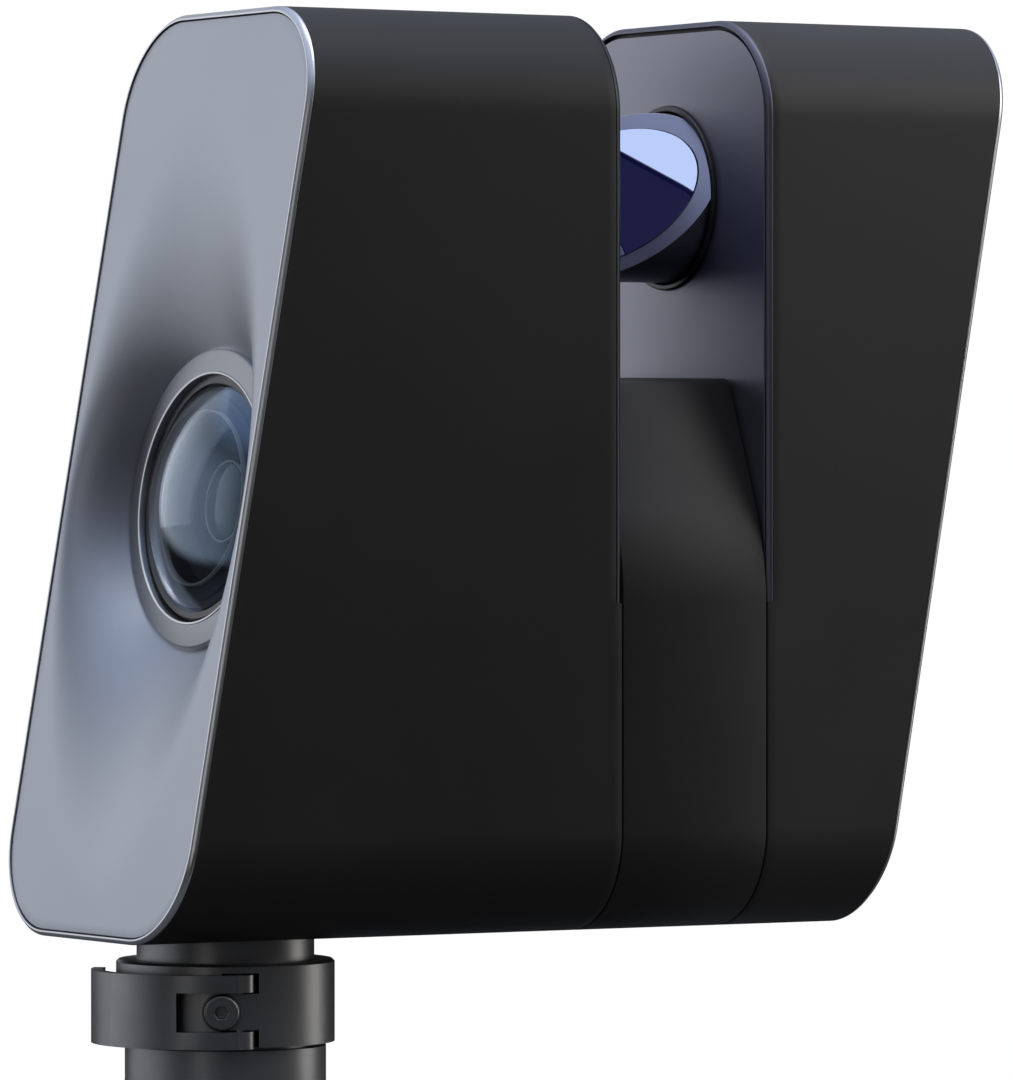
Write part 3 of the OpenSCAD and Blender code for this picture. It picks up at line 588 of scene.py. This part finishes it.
DOME_R, GLASS_R, SHELL = 38.0, 23.3, 1.6     # the front glass's curve, rim and thickness, in mm
dome_s = math.sqrt(DOME_R ** 2 - GLASS_R ** 2)
half_angle = math.asin(GLASS_R / DOME_R)
outer_arc = [(DOME_R * math.sin(half_angle * i / 40), DOME_R * math.cos(half_angle * i / 40) - dome_s)
             for i in range(1, 41)]
inner_r = DOME_R - SHELL
inner_arc = [(inner_r * math.sin(half_angle * i / 40), inner_r * math.cos(half_angle * i / 40) - dome_s)
             for i in range(40, 0, -1)]


def dome_mesh():
    """The front glass: an outer and an inner cap, each closed by a fan at its middle."""
    profile = outer_arc + inner_arc
    verts = [LENS_FRAME @ Vector((0, 0, (radius - dome_s) * MM)) for radius in (DOME_R, inner_r)]
    for r, h in profile:
        verts += circle(LENS_FRAME, r, h)
    steps = ROUND_STEPS
    faces = [(0, 2 + j, 2 + (j + 1) % steps) for j in range(steps)]
    for i in range(len(profile) - 1):
        a, b = 2 + i * steps, 2 + (i + 1) * steps
        faces += [(a + j, a + (j + 1) % steps, b + (j + 1) % steps, b + j) for j in range(steps)]
    last = 2 + (len(profile) - 1) * steps
    faces += [(1, last + (j + 1) % steps, last + j) for j in range(steps)]
    return verts, faces


dome = piece("front_dome", *dome_mesh(), "scanner", DOME, "lens_glass")
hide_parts("front_lens")

lathe("barrel_mouth", [
    (23.35, -4), (23.35, -0.1), (23.5, 0.15), (23.95, 0.15), (24.2, -0.1), (24.35, -1.0),
    (24.35, -4)],
    LENS_FRAME, "scanner", BAFFLE, "black_anodised")
baffle = lathe("lens_baffle", [
    (23.3, -3), (21.6, -2.0), (21.5, -1.0), (19.6, -0.6), (19.5, 0.1), (17.1, 0.9),
    (16.95, -5.5), (23.3, -5.5)],
    LENS_FRAME, "scanner", BAFFLE, "black_anodised")
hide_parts("spacer_ring")
lathe("lens_ring_large", [
    (16.45, 1.4), (16.6, 1.6), (16.85, 1.6), (16.95, 1.4), (16.95, 0.4), (16.45, 0.4)],
    LENS_FRAME, "scanner", RING_LIGHT, "black_anodised")
lathe("lens_ring_small", [
    (7.6, -4.0), (7.7, -3.85), (7.95, -3.85), (8.05, -4.0), (8.05, -4.6), (7.6, -4.6)],
    LENS_FRAME, "scanner", RING_LIGHT, "black_anodised")
lathe("lens_well", [
    (16.4, 0.4), (16.3, -3.0), (13.0, -4.4), (12.9, -5.2), (8.1, -5.2), (8.1, -4.6), (7.5, -4.6),
    (7.5, -11), (0.4, -11), (0.4, -12), (17, -12), (17, 0.35)],
    LENS_FRAME, "scanner", BAFFLE, "black_anodised")
inner_glass = lathe("inner_glass", [
    (0.02, -2.6), (2, -2.68), (4, -2.9), (6, -3.3), (7.4, -3.85), (7.45, -4.5), (0.02, -6.0)],
    LENS_FRAME, "scanner", INNER, "lens_glass")
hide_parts("inner_lenses")

# ---- small parts with rounded edges --------------------------------------------
FINISH = {"front_gap_plate": MATS["gap_face"], "rear_gap_plate": MATS["gap_plate"],
          "mirror_drum": MATS["drum_metal"]}
for node_name in ("tripod_adapter", "locking_collar", "locking_lever", "plunger_screw", "swivel_neck"):
    FINISH[node_name] = MATS["clamp_metal"]

for node_name, width in (
        ("rear_gap_plate", 0.15), ("front_gap_plate", 0.15), ("back_panel", 0.15), ("display_window", 0.2),
        ("battery_cap", 0.4), ("battery_latch", 0.3), ("power_button", 0.35), ("mirror_collar", 0.3),
        ("mirror_drum", 0.35), ("laser_window", 0.2), ("tripod_adapter", 0.3), ("locking_collar", 0.35),
        ("locking_lever", 0.3), ("plunger_screw", 0.25), ("swivel_neck", 0.3), ("thread_insert", 0.2),
        ("lever_pin", 0.15)):
    soften(node_name, width, FINISH.get(node_name, MATS[slot_of[node_name]]))

# ---- floor, light and camera ---------------------------------------------------
def mix_colours(tree, factor, a, b):
    """A colour between a and b, each a plain colour or a socket."""
    mix = tree.nodes.new("ShaderNodeMix")
    mix.data_type = "RGBA"
    tree.links.new(factor, mix.inputs["Factor"])
    for key, value in (("A", a), ("B", b)):
        if isinstance(value, tuple):
            mix.inputs[key].default_value = value
        else:
            tree.links.new(value, mix.inputs[key])
    return mix.outputs["Result"]


def smooth_step(tree, value, low, high, falling=False):
    """A smooth rise from 0 at low to 1 at high or, falling, from 1 down to 0."""
    step = tree.nodes.new("ShaderNodeMapRange")
    step.interpolation_type = "SMOOTHSTEP"
    step.inputs["From Min"].default_value = low
    step.inputs["From Max"].default_value = high
    if falling:
        step.inputs["To Min"].default_value = 1
        step.inputs["To Max"].default_value = 0
    tree.links.new(value, step.inputs["Value"])
    return step.outputs["Result"]


def product(tree, a, b):
    times = tree.nodes.new("ShaderNodeMath")
    times.operation = "MULTIPLY"
    tree.links.new(a, times.inputs[0])
    tree.links.new(b, times.inputs[1])
    return times.outputs[0]


def along(tree, ray, direction):
    """How far a ray points in a direction, as their dot product."""
    dot = tree.nodes.new("ShaderNodeVectorMath")
    dot.operation = "DOT_PRODUCT"
    dot.inputs[1].default_value = direction
    tree.links.new(ray, dot.inputs[0])
    return dot.outputs["Value"]


FLOOR_R = 3.0
floor_mesh = bpy.data.meshes.new("floor")
floor_turns = [2 * math.pi * i / 128 for i in range(128)]
floor_points = [(FLOOR_R * math.cos(t), FLOOR_R * math.sin(t), 0) for t in floor_turns]
floor_mesh.from_pydata(floor_points, [], [tuple(range(128))])
floor = bpy.data.objects.new("floor", floor_mesh)
floor_mat = material("floor_paper", (0.90, 0.86, 0.79), roughness=0.85, grain=(300, 0.02), mottle=0.01,
                     Emission_Color=(1, 1, 1, 1))

# The floor is pale to the camera and dim to every other ray, and fades out away from the object.
paper = floor_mat.node_tree
paper_shader = paper.nodes["Principled BSDF"]
to_camera = paper.nodes.new("ShaderNodeLightPath").outputs["Is Camera Ray"]
pale = paper_shader.inputs["Base Color"].links[0].from_socket
paper.links.new(mix_colours(paper, to_camera, (0.10, 0.10, 0.10, 1), pale),
                paper_shader.inputs["Base Color"])
floor_glow = paper.nodes.new("ShaderNodeMath")
floor_glow.operation = "MULTIPLY"
floor_glow.inputs[1].default_value = 0.25
paper.links.new(to_camera, floor_glow.inputs[0])
paper.links.new(floor_glow.outputs[0], paper_shader.inputs["Emission Strength"])
floor_place = paper.nodes.new("ShaderNodeTexCoord")
floor_reach = paper.nodes.new("ShaderNodeVectorMath")
floor_reach.operation = "LENGTH"
paper.links.new(floor_place.outputs["Object"], floor_reach.inputs[0])
paper.links.new(smooth_step(paper, floor_reach.outputs["Value"], 0.13, 0.29, falling=True),
                paper_shader.inputs["Alpha"])
floor_mesh.materials.append(floor_mat)
bpy.context.scene.collection.objects.link(floor)

# The world is white to the camera and a soft studio to every other ray.
world = bpy.data.worlds.new("studio")
bpy.context.scene.world = world
world.use_nodes = True
sky = world.node_tree
sky.nodes.clear()
ray = sky.nodes.new("ShaderNodeTexCoord").outputs["Generated"]
ray_parts = sky.nodes.new("ShaderNodeSeparateXYZ")
sky.links.new(ray, ray_parts.inputs["Vector"])
ray_height = ray_parts.outputs["Z"]
height_range = sky.nodes.new("ShaderNodeMapRange")
height_range.inputs["From Min"].default_value = -1
height_range.inputs["From Max"].default_value = 1
sky.links.new(ray_height, height_range.inputs["Value"])
ramp = sky.nodes.new("ShaderNodeValToRGB")
sky.links.new(height_range.outputs["Result"], ramp.inputs["Fac"])
stops = ramp.color_ramp.elements
stops[0].position, stops[0].color = 0.0, (0.010, 0.010, 0.010, 1)
stops[1].position, stops[1].color = 1.0, (0.62, 0.70, 0.90, 1)
for at, colour in (
        (0.47, (0.022, 0.022, 0.023, 1)), (0.51, (0.06, 0.060, 0.060, 1)), (0.62, (0.07, 0.073, 0.08, 1)),
        (0.75, (0.15, 0.165, 0.20, 1)), (0.83, (0.58, 0.69, 0.95, 1))):
    stop = stops.new(at)
    stop.color = colour

# A wide wall of light at the far left of the photo's view. It starts just above the horizon
# and fades upwards.
left = smooth_step(sky, along(sky, ray, (-0.954, -0.30, 0)), 0.10, 0.90)
below_top = smooth_step(sky, ray_height, 0.25, 0.65, falling=True)
above_horizon = smooth_step(sky, along(sky, ray, (0, -0.5, 1)), 0.02, 0.14)
wall = product(sky, product(sky, left, below_top), above_horizon)

studio = sky.nodes.new("ShaderNodeBackground")
sky.links.new(mix_colours(sky, wall, ramp.outputs["Color"], (0.78, 0.82, 0.90, 1)),
              studio.inputs["Color"])
white = sky.nodes.new("ShaderNodeBackground")
white.inputs["Color"].default_value = (1, 1, 1, 1)
white.inputs["Strength"].default_value = 1.02
by_ray = sky.nodes.new("ShaderNodeMixShader")
ray_kind = sky.nodes.new("ShaderNodeLightPath")
world_out = sky.nodes.new("ShaderNodeOutputWorld")
sky.links.new(ray_kind.outputs["Is Camera Ray"], by_ray.inputs["Fac"])
sky.links.new(studio.outputs["Background"], by_ray.inputs[1])
sky.links.new(white.outputs["Background"], by_ray.inputs[2])
sky.links.new(by_ray.outputs["Shader"], world_out.inputs["Surface"])

CENTRE = Vector((0, 0.06, 0.14))                 # about the middle of the body
GLOW = Vector((0, GAP_Y0, MIRROR.z - 4 * MM))    # on the front gap plate, across from the mirror


def softbox(name, direction, distance, size, power, colour=(1, 1, 1), aim=CENTRE, outwards=False):
    """A lamp at a distance from aim, that shines at it or, outwards, away from it."""
    light = bpy.data.lights.new(name, "AREA")
    light.shape = "RECTANGLE"
    light.size, light.size_y = size
    light.energy = power
    light.color = colour
    holder = bpy.data.objects.new(name, light)
    place = aim + Vector(direction).normalized() * distance
    holder.location = place
    facing = place - aim if outwards else aim - place
    holder.rotation_euler = facing.to_track_quat("-Z", "Y").to_euler()
    bpy.context.scene.collection.objects.link(holder)
    holder.visible_camera = False


softbox("key_left", (-0.86, -0.50, 0.34), 1.5, (1.1, 1.2), 1.3, (0.94, 0.96, 1.0))
softbox("front_right", (0.55, -0.83, 0.10), 1.7, (0.4, 0.8), 0.7)
softbox("top", (0.15, 0.1, 1), 1.5, (0.9, 1.6), 9, (0.97, 0.98, 1.0))
softbox("side_right", (0.78, 0.62, 0.45), 0.55, (0.35, 0.35), 0.85, (1.0, 0.98, 0.95),
        Vector((0, 0.16, 0.2)))
softbox("back_right", (0.20, 0.97, 0.06), 1.2, (0.5, 0.9), 2.6, (1.0, 0.99, 0.97))
softbox("gap_glow", (0, 1, 0), 0.0012, (0.058, 0.10), 0.00062, (0.14, 0.13, 1.0), GLOW, outwards=True)

# The camera was fitted to the photo's edges.
camera_data = bpy.data.cameras.new("camera")
camera_data.lens = 266.42
camera_data.sensor_width = 36
camera_data.clip_end = 50
camera = bpy.data.objects.new("camera", camera_data)
camera.location = (1.3713, -0.7534, 0.1427)
dip = math.radians(0.559)
look = Vector((-0.85896 * math.cos(dip), 0.51204 * math.cos(dip), -math.sin(dip)))
camera.rotation_euler = look.to_track_quat("-Z", "Y").to_euler()
bpy.context.scene.collection.objects.link(camera)
bpy.context.scene.camera = camera
bpy.context.scene.view_settings.view_transform = "Standard"
